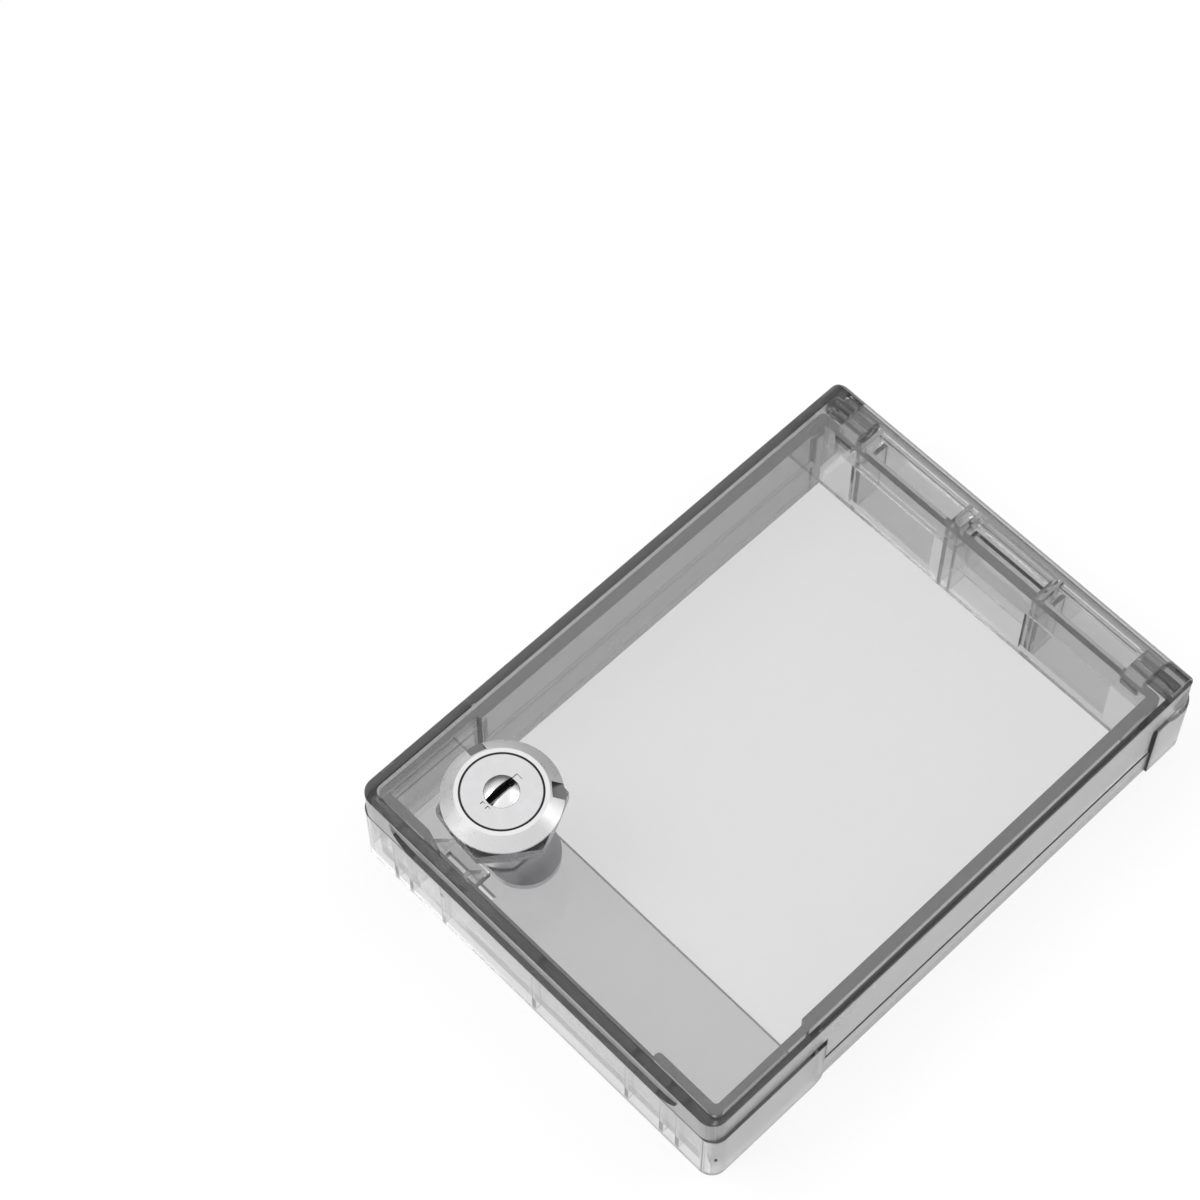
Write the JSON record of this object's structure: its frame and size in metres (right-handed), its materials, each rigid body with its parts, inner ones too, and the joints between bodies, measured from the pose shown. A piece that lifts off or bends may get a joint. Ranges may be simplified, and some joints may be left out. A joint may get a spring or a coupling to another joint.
{
  "type": "thermostat lock box",
  "caption": "Clear smoke-tinted cover box for a wall thermostat: open-backed base frame, hinged cover and a round cam lock in one corner.",
  "frame": {"origin": "centre of the closed case's footprint, on the rear face", "axes": "+Z out of the wall, through the cover; +X towards the hinge; +Y towards the long side next to the lock"},
  "size_m": [0.1566, 0.1134, 0.0333],
  "materials": {
    "smoke_plastic": "clear smoke tint, moulded gloss",
    "chrome": "polished plating",
    "steel": "zinc-plated",
    "dark_steel": "blackened",
    "brass": "stamped"
  },
  "bodies": {
    "base_frame": {"base": "smoke_plastic", "hinge_pin_near": "dark_steel", "hinge_pin_far": "dark_steel"},
    "cover_body": {"cover": "smoke_plastic", "lock_housing": "chrome", "toothed_washer": "steel", "lock_nut": "steel"},
    "lock_rotor": {"lock_plug": "chrome", "face_disc": "chrome", "shutter_pin_near": "steel", "shutter_pin_far": "steel", "shutter_spring_near": "steel", "shutter_spring_far": "steel", "wafer_springs": "steel", "stop_washer": "steel", "cam": "steel", "cam_spring_washer": "steel", "cam_screw": "steel"},
    "shutter_body_near": {"shutter_near": "dark_steel"},
    "shutter_body_far": {"shutter_far": "dark_steel"},
    "wafer_body_1": {"wafer_1": "brass"},
    "wafer_body_2": {"wafer_2": "brass"},
    "wafer_body_3": {"wafer_3": "brass"},
    "wafer_body_4": {"wafer_4": "brass"},
    "wafer_body_5": {"wafer_5": "brass"}
  },
  "joints": [
    {"name": "cover_hinge", "type": "hinge", "parent": "base_frame", "child": "cover_body", "pos_m": [0.0736, 0, 0.0237], "axis": [0, 1, 0], "range_deg": [0, 90]},
    {"name": "lock_turn", "type": "hinge", "parent": "cover_body", "child": "lock_rotor", "pos_m": [-0.0561, 0.0324, 0.02], "axis": [0, 0, -1], "range_deg": [0, 90]},
    {"name": "shutter_far_swing", "type": "hinge", "parent": "lock_rotor", "child": "shutter_body_far", "pos_m": [-0.0561, 0.03415, 0.0303], "axis": [1, 0, 0], "range_deg": [0, 88]},
    {"name": "shutter_near_swing", "type": "hinge", "parent": "lock_rotor", "child": "shutter_body_near", "pos_m": [-0.0561, 0.03065, 0.0303], "axis": [-1, 0, 0], "range_deg": [0, 88]},
    {"name": "wafer_1_slide", "type": "slide", "parent": "lock_rotor", "child": "wafer_body_1", "axis": [1, 0, 0], "range_m": [0, 0.001]},
    {"name": "wafer_2_slide", "type": "slide", "parent": "lock_rotor", "child": "wafer_body_2", "axis": [-1, 0, 0], "range_m": [0, 0.001]},
    {"name": "wafer_3_slide", "type": "slide", "parent": "lock_rotor", "child": "wafer_body_3", "axis": [1, 0, 0], "range_m": [0, 0.001]},
    {"name": "wafer_4_slide", "type": "slide", "parent": "lock_rotor", "child": "wafer_body_4", "axis": [-1, 0, 0], "range_m": [0, 0.001]},
    {"name": "wafer_5_slide", "type": "slide", "parent": "lock_rotor", "child": "wafer_body_5", "axis": [1, 0, 0], "range_m": [0, 0.001]}
  ],
  "couplings": [
    {"joint": "wafer_2_slide", "follows": "wafer_1_slide", "ratio": 1},
    {"joint": "wafer_3_slide", "follows": "wafer_1_slide", "ratio": 1},
    {"joint": "wafer_4_slide", "follows": "wafer_1_slide", "ratio": 1},
    {"joint": "wafer_5_slide", "follows": "wafer_1_slide", "ratio": 1}
  ]
}
